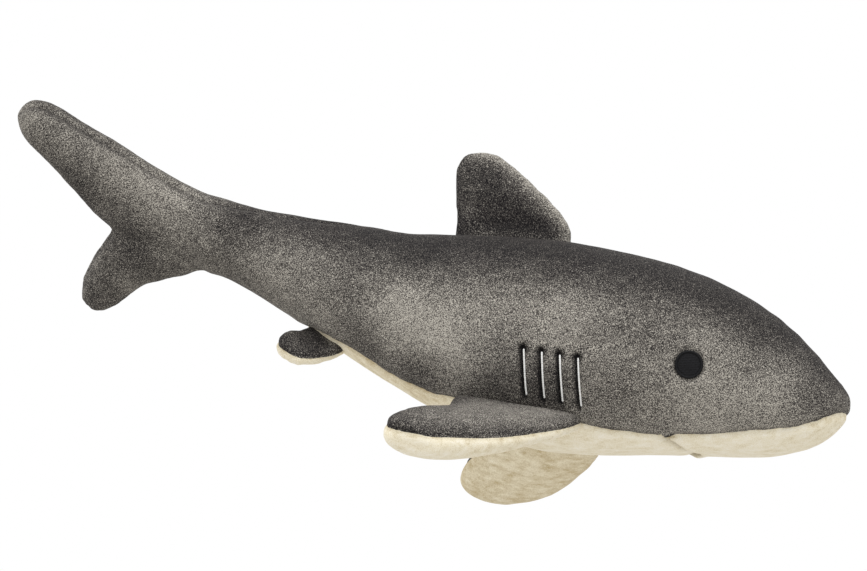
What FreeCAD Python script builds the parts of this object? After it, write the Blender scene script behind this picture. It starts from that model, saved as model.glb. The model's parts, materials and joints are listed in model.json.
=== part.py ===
import FreeCAD, Part
import math
import os
from FreeCAD import Placement, Rotation, Vector

# Stuffed plush shark.
# +X runs to the nose, +Y to the shark's left side, +Z up. Sizes are in millimetres.
# While it is built, the sewn flat of the belly is at Z = 0 and the nose tip at X = 0.
# At the end every piece moves, so that the lowest point is at Z = 0 and the box is centred.

# ---- overall sizes ----
BODY_LENGTH = 304.0  # nose tip to tail root
BODY_HEIGHT = 100.0  # unit of the heights in BODY_STATIONS
BODY_WIDTH = 82.0  # greatest width of the trunk
SKIN = 2.5  # plush fabric with its pile
SEAM_GAP = 0.3  # between two panels at a seam
STUFFING_GAP = 0.3  # between the stuffing and the back of the fabric
MOVING_GAP = 0.4  # between pieces that move against each other

# Trunk stations, nose to tail: (place, bottom, top, half_width, belly_angle, roll)
# place: share of BODY_LENGTH behind the nose; bottom, top: shares of BODY_HEIGHT
# half_width: share of half BODY_WIDTH; belly_angle: half angle of the cream underside
# roll: lean of the back towards -Y, in degrees, because the soft rear body is twisted
BODY_STATIONS = (
    (0.000, 0.19, 0.27, 0.12, 70, 0),
    (0.012, 0.145, 0.33, 0.27, 64, 0),
    (0.035, 0.075, 0.42, 0.44, 54, 0),
    (0.075, 0.02, 0.56, 0.62, 45, 0),
    (0.130, -0.01, 0.69, 0.78, 40, 0),
    (0.210, -0.015, 0.81, 0.92, 33, 0),
    (0.320, -0.015, 0.915, 1.00, 34, 0),
    (0.420, -0.01, 0.975, 1.00, 37, 0),
    (0.520, 0.05, 1.00, 0.96, 35, 0),
    (0.610, 0.165, 1.005, 0.89, 33, 2),
    (0.700, 0.31, 1.015, 0.80, 31, 8),
    (0.785, 0.475, 1.06, 0.67, 26, 18),
    (0.865, 0.622, 1.105, 0.55, 20, 27),
    (0.935, 0.742, 1.15, 0.46, 14, 33),
    (1.000, 0.81, 1.205, 0.42, 10, 36),
)
ARC_POINTS = 9  # points that carry one panel arc

# ---- mouth, the curved seam between the snout and the belly ----
MOUTH_APEX = 70.0  # behind the nose tip
MOUTH_RADIUS = 40.0

# ---- embroidery ----
EYE_PLACE = 65.3  # behind the nose tip
EYE_HEIGHT = 34.6
EYE_RADIUS = 6.3
EYE_BACKING_RADIUS = 8.5  # soft backing behind the stitches
BACKING_THICKNESS = 0.6
STITCH_PROUD = 0.7
STITCH_SUNK = 0.8
GILL_COUNT = 4
GILL_FIRST = 114.6  # foremost gill, behind the nose tip
GILL_PITCH = 8.3
GILL_TOP = 36.5
GILL_TOP_STEP = 1.3  # each gill behind starts this much higher
GILL_LENGTH = 23.0
GILL_WIDTH = 1.0
GILL_LEAN = 2.0  # degrees, lower end forward

# ---- seam threads, buried in the seam gaps ----
THREAD_DEPTH = 0.9  # under the face of the fabric
THREAD_HEIGHT = 0.8
THREAD_THICKNESS = 0.24

# ---- tail sway, a soft bend taken as an upright hinge in the tail stalk ----
SWAY_PLACE = 285.0  # behind the nose tip
SWAY_FILL = 0.9  # half width of the stalk over the radius of the joint

# ---- tail fin, in its own plane: (back, up, half_chord, half_thickness) ----
# back and up are measured from the tail root, where the stalk ends
TAIL_ROLL = 36.0
UPPER_LOBE = (
    (-8, -2, 17.0, 15.5),
    (12, 5, 19.5, 15.0),
    (35, 20, 19.5, 14.0),
    (53.5, 37.5, 16.0, 13.0),
    (71, 54, 12.0, 11.0),
    (78.5, 61, 8.5, 7.5),
    (82, 64, 3.5, 3.0),
)
LOWER_LOBE = (
    (-8, 0, 16.0, 14.5),
    (20, -5, 18.0, 13.5),
    (42, -14, 15.5, 12.0),
    (55, -27, 11.0, 10.0),
    (60, -33, 7.5, 7.0),
    (63, -36, 3.5, 3.0),
)

# ---- fins: (span, rear, front, thickness) from the middle of the root ----
DORSAL_PLACE = 156.0  # middle of the root, behind the nose tip
DORSAL_ROOT = 58.0
ROOT_SINK = 2.0  # how far the rolled root of a fin is sunk into the body
DORSAL_ROLL_RADIUS = 5.0
DORSAL_SWING = (-30.0, 30.0)
DORSAL_ROWS = (
    (0, -27, 28.5, 6.5),
    (11, -29, 26, 8.0),
    (20, -30, 18, 13.0),
    (30, -31, 6, 13.0),
    (38, -29, -4.5, 10.0),
    (42, -24, -11, 6.0),
)

PECTORAL_PLACE = 145.0
PECTORAL_ROOT = 66.0
PECTORAL_DROOP = 27.0  # below level
PECTORAL_ROLL_RADIUS = 5.0
PECTORAL_SWING = (-30.0, 25.0)  # up, down
PECTORAL_ROWS = (
    (0, -30, 32, 6.5),
    (12, -29, 31, 8.0),
    (24, -28, 26, 14.0),
    (38, -33, 18, 17.0),
    (52, -39.5, 8, 18.5),
    (62, -40.5, -4, 16.0),
    (69, -35, -14, 8.0),
)

PELVIC_PLACE = 239.5
PELVIC_ROOT = 28.0
PELVIC_DROOP = 29.0
PELVIC_ROLL_RADIUS = 3.2
PELVIC_SWING = (-25.0, 20.0)  # up, down
PELVIC_ROWS = (
    (0, -13, 12, 4.2),
    (7, -14, 12, 5.0),
    (13, -15, 10.5, 9.0),
    (20, -15, 7, 9.0),
    (25, -11, 2, 5.0),
)
RELIEF_MARGIN = 0.7  # room beside a fin where it leaves its groove
THINNEST = 1.0  # least depth of a filling where a fin is pinched

FAR = 400.0  # larger than the toy, for cutting solids
BOX_TOLERANCE = 0.05  # how closely the toy's box is measured


# ---- body form ----
def blend_value(values, places, place):
    """Smooth value at a place, on a curve through the stations."""
    last = len(places) - 1
    i = max(0, min(last - 1, sum(1 for p in places if p <= place) - 1))
    width = places[i + 1] - places[i]
    t = (place - places[i]) / width

    def slope(k):
        a, b = max(0, k - 1), min(last, k + 1)
        return (values[b] - values[a]) / (places[b] - places[a])

    t2, t3 = t * t, t * t * t
    start = (2 * t3 - 3 * t2 + 1) * values[i] + (t3 - 2 * t2 + t) * width * slope(i)
    end = (3 * t2 - 2 * t3) * values[i + 1] + (t3 - t2) * width * slope(i + 1)
    return start + end


def station(behind_nose):
    """Section of the trunk: x, bottom, top, half width, belly angle and roll."""
    share = behind_nose / BODY_LENGTH
    places = [row[0] for row in BODY_STATIONS]
    columns = [[row[k] for row in BODY_STATIONS] for k in range(1, 6)]
    bottom, top, half, angle, roll = [blend_value(c, places, share) for c in columns]
    heights = bottom * BODY_HEIGHT, top * BODY_HEIGHT
    return -behind_nose, heights[0], heights[1], half * BODY_WIDTH / 2, angle, roll


def section_point(behind_nose, angle, inset=0.0):
    """Point of the section: angle 0 is the bottom, 90 the right side (-Y), 180 the back."""
    x, bottom, top, half, _, roll = station(behind_nose)
    floor = bottom if inset <= 0 else max(bottom, 0.0)
    centre = (bottom + top) / 2
    middle = (floor + top) / 2
    height = (top - floor) / 2 - inset
    a = math.radians(angle)
    y = -(half - inset) * math.sin(a)
    z = middle - centre - height * math.cos(a)
    r = math.radians(roll)
    return Vector(x, y * math.cos(r) - z * math.sin(r), centre + y * math.sin(r) + z * math.cos(r))


def normal_at(behind_nose, angle):
    """Outward direction across the section at that angle."""
    _, bottom, top, half, _, roll = station(behind_nose)
    a, r = math.radians(angle), math.radians(roll)
    y, z = -math.sin(a) / half, -2 * math.cos(a) / (top - bottom)
    return Vector(0, y * math.cos(r) - z * math.sin(r), y * math.sin(r) + z * math.cos(r)).normalize()


def curve(points):
    spline = Part.BSplineCurve()
    spline.interpolate(points)
    return spline.toShape()


def station_places():
    return [row[0] * BODY_LENGTH for row in BODY_STATIONS]


def full_form(inset):
    """Closed trunk form, its skin drawn in by the inset."""
    wires = []
    for place in station_places():
        points = [section_point(place, k * 360 / 16, inset) for k in range(16)]
        spline = Part.BSplineCurve()
        spline.interpolate(points, True)
        wires.append(Part.Wire(spline.toShape()))
    return Part.makeLoft(wires, True)


def panel_form(start_angle, end_angle, outer=0.0, inner=SKIN):
    """Strip of fabric between two seams. Each angle is a function of the place."""
    wires = []
    for place in station_places():
        _, _, _, half, _, _ = station(place)
        gap = math.degrees(SEAM_GAP / 2 / half)
        a, b = start_angle(place) + gap, end_angle(place) - gap
        angles = [a + (b - a) * k / (ARC_POINTS - 1) for k in range(ARC_POINTS)]
        out = [section_point(place, angle, outer) for angle in angles]
        inn = [section_point(place, angle, inner) for angle in reversed(angles)]
        edges = [curve(out), Part.makeLine(out[-1], inn[0]), curve(inn), Part.makeLine(inn[-1], out[0])]
        wires.append(Part.Wire(edges))
    return Part.makeLoft(wires, True)


def belly_angle(place):
    return station(place)[4]


def below_flat():
    return Part.makeBox(2 * FAR, FAR, FAR, Vector(-FAR, -FAR / 2, -FAR))


# ---- sway joint ----
def sway_radius():
    return station(SWAY_PLACE)[3] / SWAY_FILL


def tail_region(gap):
    """Everything that moves with the tail: the stalk inside the joint and all behind it."""
    drum = Part.makeCylinder(sway_radius() + gap, FAR, Vector(-SWAY_PLACE, 0, -FAR / 2))
    rear = Part.makeBox(FAR, FAR, FAR, Vector(-SWAY_PLACE - FAR, -FAR / 2, -FAR / 2))
    return drum.fuse(rear)


# ---- fins ----
def ellipse_wire(centre, along, across, half_along, half_across):
    """Closed ellipse about a point, in the plane of two directions."""
    points = []
    for k in range(16):
        a = 2 * math.pi * k / 16
        points.append(centre + along * (half_along * math.cos(a)) + across * (half_across * math.sin(a)))
    spline = Part.BSplineCurve()
    spline.interpolate(points, True)
    return Part.Wire(spline.toShape())


def fin_blade(rows, inset):
    """Blade of a fin in its own frame: X forward along the root, Y out along the span, Z through it."""
    wires = []
    for i, (span, rear, front, thickness) in enumerate(rows):
        place = span - inset if i == len(rows) - 1 else span
        middle = Vector((rear + front) / 2, place, 0)
        half_chord = (front - rear) / 2 - inset
        half_depth = max(thickness / 2 - inset, THINNEST / 2)
        wires.append(ellipse_wire(middle, Vector(1, 0, 0), Vector(0, 0, 1), half_chord, half_depth))
    return Part.makeLoft(wires, True)


def fin_form(rows, root, roll_radius, inset):
    """Blade of a fin joined to the roll of fabric at its root."""
    length = root - 2 * inset
    start = Vector(-length / 2, 0, 0)
    rolled = Part.makeCylinder(roll_radius - inset, length, start, Vector(1, 0, 0))
    return fin_blade(rows, inset).fuse(rolled).removeSplitter()


def fin_pieces(rows, root, roll_radius):
    """Face panel, back panel and stuffing of one fin, in its own frame."""
    skin = min(SKIN, roll_radius / 2)
    shell = fin_form(rows, root, roll_radius, 0).cut(fin_form(rows, root, roll_radius, skin))
    half_gap = SEAM_GAP / 2
    above = Part.makeBox(FAR, FAR, FAR, Vector(-FAR / 2, -FAR / 2, half_gap))
    below = Part.makeBox(FAR, FAR, FAR, Vector(-FAR / 2, -FAR / 2, -FAR - half_gap))
    filling = fin_blade(rows[1:], skin + STUFFING_GAP)
    return shell.common(above), shell.common(below), filling


def fin_relief(rows, root, roll_radius, swing):
    """Groove that the root of a fin turns in, with the room for its travel."""
    radius = roll_radius + MOVING_GAP
    length = root + 2 * MOVING_GAP
    groove = Part.makeCylinder(radius, length, Vector(-length / 2, 0, 0), Vector(1, 0, 0))
    reach, thickness = rows[1][0] + MOVING_GAP, rows[1][3] + 2 * RELIEF_MARGIN
    for angle in (swing[0], sum(swing) / 2, swing[1]):
        slot = Part.makeBox(length, reach, thickness, Vector(-length / 2, 0, -thickness / 2))
        slot.rotate(Vector(), Vector(1, 0, 0), angle)
        groove = groove.fuse(slot)
    return groove


def frame_of(rear, front, outward):
    """Placement of a fin's frame: origin mid root, X to the front, Y near the given way."""
    forward = (front - rear).normalize()
    through = forward.cross(outward).normalize()
    span = through.cross(forward)
    return Placement((rear + front) * 0.5, Rotation(forward, span, through, "XYZ"))


def placed(shape, placement):
    moved = shape.copy()
    moved.transformShape(placement.toMatrix(), True)
    return moved


def mirrored(shape):
    return shape.mirror(Vector(), Vector(0, 1, 0))


def dorsal_frame():
    ends = [section_point(DORSAL_PLACE + k * DORSAL_ROOT / 2, 180) for k in (1, -1)]
    sink = Vector(0, 0, -ROOT_SINK)
    return frame_of(ends[0] + sink, ends[1] + sink, Vector(0, 0, 1))


def pectoral_frame():
    places = [PECTORAL_PLACE + k * PECTORAL_ROOT / 2 for k in (1, -1)]
    ends = [section_point(place, belly_angle(place), ROOT_SINK) for place in places]
    droop = math.radians(PECTORAL_DROOP)
    return frame_of(ends[0], ends[1], Vector(0, -math.cos(droop), -math.sin(droop)))


def pelvic_frame(side):
    """Frame on the right (side 1) or left (side -1) belly seam of the twisted rear body."""
    places = [PELVIC_PLACE + k * PELVIC_ROOT / 2 for k in (1, -1)]
    ends = [section_point(place, side * belly_angle(place), ROOT_SINK) for place in places]
    lean = math.radians(station(PELVIC_PLACE)[5])
    droop = math.radians(PELVIC_DROOP)
    y, z = -side * math.cos(droop), -math.sin(droop)
    outward = Vector(0, y * math.cos(lean) - z * math.sin(lean), y * math.sin(lean) + z * math.cos(lean))
    return frame_of(ends[0], ends[1], outward)


# ---- tail fin ----
def tail_root():
    x, bottom, top, _, _, _ = station(BODY_LENGTH)
    return Vector(x, 0, (bottom + top) / 2)


def tail_placement():
    """Tail plane: local X forward, local Z up the fin, rolled with the stalk."""
    return Placement(tail_root(), Rotation(Vector(1, 0, 0), TAIL_ROLL))


def lobe_form(rows, inset):
    """One lobe, through ellipses square to its centre line."""
    centres = [Vector(-back, 0, up) for back, up, _, _ in rows]
    wires = []
    for i, (_, _, chord, thickness) in enumerate(rows):
        ahead = centres[min(i + 1, len(rows) - 1)] - centres[max(i - 1, 0)]
        line = ahead.normalize()
        across = line.cross(Vector(0, 1, 0))
        half = max(chord - inset, 0.8)
        centre = centres[i] - line * inset if i == len(rows) - 1 else centres[i]
        wires.append(ellipse_wire(centre, across, Vector(0, 1, 0), half, max(thickness - inset, 0.6)))
    return Part.makeLoft(wires, True)


def tail_form(inset):
    stalk = full_form(inset).common(tail_region(0))
    lobes = lobe_form(UPPER_LOBE, inset).fuse(lobe_form(LOWER_LOBE, inset))
    return stalk.fuse(placed(lobes, tail_placement())).removeSplitter()


def tail_pieces():
    """Right panel, left panel and stuffing of the tail."""
    shell = tail_form(0).cut(tail_form(SKIN))
    half_gap = SEAM_GAP / 2
    left = Part.makeBox(FAR, FAR, FAR, Vector(-FAR / 2, half_gap, -FAR / 2))
    right = Part.makeBox(FAR, FAR, FAR, Vector(-FAR / 2, -FAR - half_gap, -FAR / 2))
    sides = [shell.common(placed(half, tail_placement())) for half in (right, left)]
    return sides[0], sides[1], tail_form(SKIN + STUFFING_GAP)


# ---- embroidery ----
def stitch_layer():
    """Thin layer at the face of the fabric, which every embroidered piece is cut from."""
    return full_form(-STITCH_PROUD).cut(full_form(STITCH_SUNK))


def angle_at_height(place, height):
    """Section angle on the right side at a height above the belly flat."""
    _, bottom, top, _, _, _ = station(place)
    middle, half = (bottom + top) / 2, (top - bottom) / 2
    return math.degrees(math.acos((middle - height) / half))


def eye_pin(radius):
    """Round bar through the right side of the head, square to its surface."""
    angle = angle_at_height(EYE_PLACE, EYE_HEIGHT)
    centre = section_point(EYE_PLACE, angle)
    outward = normal_at(EYE_PLACE, angle)
    return Part.makeCylinder(radius, BODY_WIDTH / 3, centre - outward * BODY_WIDTH / 6, outward)


def gill_bars():
    """Four upright bars through the right side, one for each gill."""
    bars = []
    for k in range(GILL_COUNT):
        place = GILL_FIRST + k * GILL_PITCH
        top = GILL_TOP + k * GILL_TOP_STEP
        corner = Vector(-place - GILL_WIDTH / 2, -BODY_WIDTH, top - GILL_LENGTH)
        bar = Part.makeBox(GILL_WIDTH, BODY_WIDTH, GILL_LENGTH, corner)
        bar.rotate(Vector(-place, 0, top), Vector(0, 1, 0), -GILL_LEAN)
        bars.append(bar)
    return Part.makeCompound(bars)


# ---- seam threads ----
def thread_form(angle):
    """Flat sewing thread along a lengthwise seam, buried under the face of the fabric."""
    wires = []
    for place in station_places():
        half = station(place)[3]
        spread = math.degrees(THREAD_THICKNESS / 2 / half)
        deep = THREAD_DEPTH + THREAD_HEIGHT
        corners = [
            section_point(place, angle(place) - spread, THREAD_DEPTH),
            section_point(place, angle(place) + spread, THREAD_DEPTH),
            section_point(place, angle(place) + spread, deep),
            section_point(place, angle(place) - spread, deep),
        ]
        wires.append(Part.makePolygon(corners + corners[:1]))
    return Part.makeLoft(wires, True)


def mouth_drum(radius):
    centre = Vector(-MOUTH_APEX - MOUTH_RADIUS, 0, -FAR / 2)
    return Part.makeCylinder(radius, FAR, centre)


def behind_mouth(radius):
    """Region behind the curved seam of the mouth."""
    edge = -MOUTH_APEX - MOUTH_RADIUS
    rear = Part.makeBox(FAR, FAR, FAR, Vector(edge - FAR, -FAR / 2, -FAR / 2))
    return mouth_drum(radius).fuse(rear)


# ---- assembly ----
def trunk_pieces(reliefs):
    """Panels, stuffing, embroidery and threads of the trunk."""
    tail, flat = tail_region(MOVING_GAP), below_flat()
    right = panel_form(belly_angle, lambda place: 180.0)
    cream = panel_form(lambda place: -belly_angle(place), belly_angle)
    left = panel_form(lambda place: 180.0, lambda place: 360.0 - belly_angle(place))
    stuffing = full_form(SKIN + STUFFING_GAP)
    layer = stitch_layer()
    eye = layer.common(eye_pin(EYE_RADIUS))
    gills = layer.common(gill_bars()).cut(reliefs)
    backing_outer = full_form(SKIN)
    backing = backing_outer.cut(full_form(SKIN + BACKING_THICKNESS)).common(eye_pin(EYE_BACKING_RADIUS))
    cutters = [tail, flat] + reliefs
    pieces = {
        "right_side_panel": right.cut(cutters + [eye, gills]),
        "left_side_panel": left.cut(cutters + [mirrored(eye), mirrored(gills)]),
        "snout_panel": cream.cut([flat, behind_mouth(MOUTH_RADIUS + SEAM_GAP / 2)]),
        "belly_panel": cream.cut(cutters).common(behind_mouth(MOUTH_RADIUS - SEAM_GAP / 2)),
        "body_stuffing": stuffing.cut(cutters + [backing, mirrored(backing)]),
        "right_eye": eye,
        "left_eye": mirrored(eye),
        "right_eye_backing": backing,
        "left_eye_backing": mirrored(backing),
        "right_gill_stitches": gills,
        "left_gill_stitches": mirrored(gills),
    }
    back = thread_form(lambda place: 180.0)
    side = thread_form(belly_angle)
    other = thread_form(lambda place: -belly_angle(place))
    pieces["back_seam_thread"] = back.cut(cutters)
    pieces["right_belly_seam_thread"] = side.cut(cutters + [right, cream])
    pieces["left_belly_seam_thread"] = other.cut(cutters + [left, cream])
    return pieces


def build():
    dorsal, pectoral = dorsal_frame(), pectoral_frame()
    pelvic = {"right": pelvic_frame(1), "left": pelvic_frame(-1)}
    dorsal_size = DORSAL_ROWS, DORSAL_ROOT, DORSAL_ROLL_RADIUS
    pectoral_size = PECTORAL_ROWS, PECTORAL_ROOT, PECTORAL_ROLL_RADIUS
    pelvic_size = PELVIC_ROWS, PELVIC_ROOT, PELVIC_ROLL_RADIUS
    pectoral_relief = placed(fin_relief(*pectoral_size, PECTORAL_SWING), pectoral)
    reliefs = [placed(fin_relief(*dorsal_size, DORSAL_SWING), dorsal)]
    reliefs += [pectoral_relief, mirrored(pectoral_relief)]
    for side, swing in (("right", PELVIC_SWING), ("left", (-PELVIC_SWING[1], -PELVIC_SWING[0]))):
        reliefs.append(placed(fin_relief(*pelvic_size, swing), pelvic[side]))
    pieces = trunk_pieces(reliefs)
    right, left, filling = tail_pieces()
    pieces.update({"right_tail_panel": right, "left_tail_panel": left, "tail_stuffing": filling})
    faces = [placed(piece, dorsal) for piece in fin_pieces(*dorsal_size)]
    pieces.update(zip(("right_dorsal_panel", "left_dorsal_panel", "dorsal_stuffing"), faces))
    names = ("pectoral_bottom_panel", "pectoral_top_panel", "pectoral_stuffing")
    faces = [placed(piece, pectoral) for piece in fin_pieces(*pectoral_size)]
    pieces.update({"right_" + name: piece for name, piece in zip(names, faces)})
    pieces.update({"left_" + name: mirrored(piece) for name, piece in zip(names, faces)})
    for side, frame in pelvic.items():
        faces = [placed(piece, frame) for piece in fin_pieces(*pelvic_size)]
        order = ("bottom_panel", "top_panel") if side == "right" else ("top_panel", "bottom_panel")
        for name, piece in zip((*order, "stuffing"), faces):
            pieces[side + "_pelvic_" + name] = piece
    return pieces


def stand(pieces):
    """Moves the toy so that its box stands on Z = 0 with the origin under its middle."""
    points = [p for piece in pieces.values() for p in piece.tessellate(BOX_TOLERANCE)[0]]
    middle_x = (min(p.x for p in points) + max(p.x for p in points)) / 2
    middle_y = (min(p.y for p in points) + max(p.y for p in points)) / 2
    shift = Vector(-middle_x, -middle_y, -min(p.z for p in points))
    for piece in pieces.values():
        piece.translate(shift)
    return shift


def main():
    os.makedirs("parts", exist_ok=True)
    pieces = build()
    shift = stand(pieces)
    print("shift", shift)
    for name, frame in (("dorsal", dorsal_frame()), ("right pectoral", pectoral_frame()),
                        ("right pelvic", pelvic_frame(1)), ("left pelvic", pelvic_frame(-1))):
        print(name, frame.Base + shift, frame.Rotation.multVec(Vector(1, 0, 0)))
    print("sway", Vector(-SWAY_PLACE, 0, 0) + shift)
    for name, piece in pieces.items():
        print(name, "valid" if piece.isValid() else "BROKEN", len(piece.Solids), round(piece.Volume))
        piece.exportStep("parts/" + name + ".step")


main()
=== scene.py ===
"""The looks of a plush shark: sewn pile-fabric skins, padded fins, embroidered eyes and gills."""
import json
import math

import bmesh
import bpy
from mathutils import Matrix, Vector, noise
from mathutils.bvhtree import BVHTree
from mathutils.kdtree import KDTree
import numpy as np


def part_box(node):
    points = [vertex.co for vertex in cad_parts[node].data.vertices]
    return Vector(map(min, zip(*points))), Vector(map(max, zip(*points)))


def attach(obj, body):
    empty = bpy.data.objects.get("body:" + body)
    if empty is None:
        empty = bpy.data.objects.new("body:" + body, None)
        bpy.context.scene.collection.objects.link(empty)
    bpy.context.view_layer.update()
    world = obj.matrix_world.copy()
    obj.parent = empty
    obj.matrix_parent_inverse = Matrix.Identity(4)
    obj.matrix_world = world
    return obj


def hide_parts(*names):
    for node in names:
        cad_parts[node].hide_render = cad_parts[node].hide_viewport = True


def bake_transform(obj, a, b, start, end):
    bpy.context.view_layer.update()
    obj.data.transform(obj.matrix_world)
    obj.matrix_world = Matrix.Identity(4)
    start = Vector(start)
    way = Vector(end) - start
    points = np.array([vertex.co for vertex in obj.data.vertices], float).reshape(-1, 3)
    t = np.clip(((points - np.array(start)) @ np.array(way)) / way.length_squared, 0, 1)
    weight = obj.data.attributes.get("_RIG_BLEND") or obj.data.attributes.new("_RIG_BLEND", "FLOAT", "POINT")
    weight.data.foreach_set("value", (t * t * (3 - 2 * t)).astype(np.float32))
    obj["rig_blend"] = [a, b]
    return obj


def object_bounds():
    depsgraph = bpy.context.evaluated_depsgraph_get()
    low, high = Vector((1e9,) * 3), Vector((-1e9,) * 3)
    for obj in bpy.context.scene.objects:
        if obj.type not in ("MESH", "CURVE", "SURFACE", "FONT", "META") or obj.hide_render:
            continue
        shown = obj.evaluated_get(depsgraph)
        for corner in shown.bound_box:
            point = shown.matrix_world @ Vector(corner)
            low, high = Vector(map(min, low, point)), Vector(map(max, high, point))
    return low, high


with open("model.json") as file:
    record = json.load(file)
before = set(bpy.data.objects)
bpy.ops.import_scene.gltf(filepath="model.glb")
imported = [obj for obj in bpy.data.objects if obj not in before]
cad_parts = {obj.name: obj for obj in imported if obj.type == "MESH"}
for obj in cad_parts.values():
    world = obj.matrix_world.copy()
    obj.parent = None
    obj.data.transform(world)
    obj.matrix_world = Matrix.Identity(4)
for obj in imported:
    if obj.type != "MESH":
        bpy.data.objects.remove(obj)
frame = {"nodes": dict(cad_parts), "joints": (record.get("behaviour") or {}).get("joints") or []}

bl_info = {
    "name": "Plush shark looks",
    "version": (1, 0, 0),
    "blender": (4, 5, 0),
    "location": "View3D > Sidebar > Plush shark",
    "description": "Sews the skins, fins and embroidery of a plush shark around its frame",
    "category": "Object",
}

MM = 0.001
CAD_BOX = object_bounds()
NODES = frame["nodes"]
JOINTS = {joint["name"]: joint for joint in frame["joints"]}

BODY_PANELS = {
    "right_side": ("right_side_panel", "right_tail_panel"),
    "left_side": ("left_side_panel", "left_tail_panel"),
    "belly": ("belly_panel",),
    "snout": ("snout_panel",),
}
BODY_FILLING = ("body_stuffing", "tail_stuffing")
# Each fin with its body, its joint and its two panels
FINS = {"dorsal": ("dorsal_fin", "dorsal_lean", ("right_dorsal_panel", "left_dorsal_panel"))}
for fin in ("right_pectoral", "left_pectoral", "right_pelvic", "left_pelvic"):
    FINS[fin] = (f"{fin}_fin", f"{fin}_flap", (f"{fin}_top_panel", f"{fin}_bottom_panel"))

# How each fin is shaped, in millimetres: where its root leaves the roll, how deep it is led into the
# body, the radii of its padded front and rear edges, and how far the rear edge is lifted at the tip
SHAPES = {
    "dorsal": (7.5, 4.5, 3.0, 3.0, 0),
    "pectoral": (7.5, 4.5, 4.6, 7.0, 3.5),
    "pelvic": (4.6, 2.5, 3.2, 4.6, 2),
}

# How much the ends of the body are stuffed out: the direction of the end, how far it is pushed out
# and how far from the end the push is felt, in millimetres. Nose, upper lobe, lower lobe
TIPS = (((1, 0, 0), 1.8, 26), ((-1, 0, 1), 2.2, 16), ((-1, 0, -1.6), 2.8, 16))

BODY_FILL, FIN_FILL = 0.85, 0.75  # how tightly the pieces are stuffed
BACK_SLIP = 3.0 * MM  # how far the back seam has slipped round to the right side of the tail
GILL_DEPTH = 1.4 * MM  # how far a gill stitch draws the fabric in
EYE_DEPTH = 0.9 * MM  # how far the stitches of an eye hold it down
LIP_HEIGHT = 1.4 * MM  # how far the edge of the snout stands up at the mouth
EYE_MIDDLE = 0.80  # the filled middle of an eye, as a share of its radius
STITCH_ROW = 0.75 * MM  # distance of the thread rows in that middle
BACKING_RADIUS, BACKING_THICKNESS = 8.5 * MM, 0.3 * MM
TAIL_BEND = 26 * MM  # how far in front of and behind its hinge the tail stalk bends

FLOOR_HALF, FLOOR_DEPTH = 2.2, 0.42  # metres
LAMPS = (("key", (0.5, -1.0, 1.5), 1.0, 14.0), ("rim", (-1.2, -0.2, 0.9), 0.8, 6.0))  # place, size, watts
VIEW_AZIMUTH, VIEW_ELEVATION, VIEW_ROLL = 14.5, -11, 3.185  # degrees
VIEW_AIM = (2.75 * MM, 16.4 * MM, 75 * MM)  # to the right, up the picture, and above the origin
VIEW_DISTANCE, LENS, SENSOR = 1.5, 135.2, 36.0  # metres, then millimetres

# Patches of painted light (+) and painted shade (-) on the pile, partly where it is brushed: how far behind the
# nose, how high and how wide, all in millimetres, and how much. Both sides have them.
NAP_AND_PAINTED_LIGHT_PATCHES = (
    (11, 40, 9, -0.20), (36, 62, 15, -0.12), (31, 38, 10, 0.09), (52, 33, 17, 0.10),
    (97, 34, 12, -0.14), (60, 74, 14, -0.07), (80, 62, 15, -0.14), (125, 62, 13, 0.12),
    (128, 93, 16, -0.06), (155, 97, 19, -0.10), (130, 36, 12, -0.34), (152, 39, 15, -0.24),
    (176, 57, 15, 0.28), (190, 44, 14, -0.30), (218, 58, 16, -0.26), (200, 66, 17, 0.25),
    (198, 93, 17, -0.08), (226, 86, 15, -0.12), (262, 90, 14, 0.08), (262, 117, 24, -0.20),
    (286, 114, 13, -0.34), (290, 101, 10, 0.04), (306, 117, 12, -0.20), (315, 125, 22, 0.08),
    (344, 142, 24, 0.02), (374, 158, 9, -0.02), (362, 129, 13, -0.28), (338, 107, 16, -0.38),
    (361, 91, 11, -0.22), (340, 90, 9, 0.24),
)


# -------- small tools

def linear(hex_colour):
    """A colour written as sRGB hex, turned to the linear values that shaders take."""
    channels = [int(hex_colour[i:i + 2], 16) / 255 for i in (1, 3, 5)]
    return [c / 12.92 if c <= 0.04045 else ((c + 0.055) / 1.055) ** 2.4 for c in channels] + [1.0]


def add(tree, kind, settings=None, links=None):
    """Adds a node to a material, sets its fields or socket values, and links its inputs."""
    node = tree.nodes.new(kind)
    for name, value in (settings or {}).items():
        if isinstance(name, str) and hasattr(node, name):
            setattr(node, name, value)
        else:
            node.inputs[name].default_value = value
    for name, source in (links or {}).items():
        tree.links.new(source, node.inputs[name])
    return node


def new_material(name):
    material = bpy.data.materials.new(name)
    material.use_nodes = True
    material.node_tree.nodes.clear()
    return material, material.node_tree


def smoothstep(low, high, value):
    t = min(1.0, max(0.0, (value - low) / (high - low)))
    return t * t * (3 - 2 * t)


def bell(distance, width):
    """One at no distance, fading to nothing over about twice the width."""
    return math.exp(-(distance / width) ** 2)


def object_from(name, mesh):
    obj = bpy.data.objects.new(name, mesh)
    bpy.context.scene.collection.objects.link(obj)
    return obj


def mesh_from(name, bm):
    mesh = bpy.data.meshes.new(name)
    bm.to_mesh(mesh)
    bm.free()
    return mesh


def smooth_object(name, bm):
    """An object with smooth shading."""
    for face in bm.faces:
        face.smooth = True
    return object_from(name, mesh_from(name, bm))


def relax(bm):
    bmesh.ops.smooth_vert(bm, verts=bm.verts, factor=0.5, use_axis_x=True, use_axis_y=True, use_axis_z=True)


def with_normals(bm):
    """Every vertex with its normal as it is before any of them moves."""
    bm.normal_update()
    return [(v, v.normal.copy()) for v in bm.verts]


def point_tree(points):
    tree = KDTree(len(points))
    for i, p in enumerate(points):
        tree.insert(p, i)
    tree.balance()
    return tree


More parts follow.
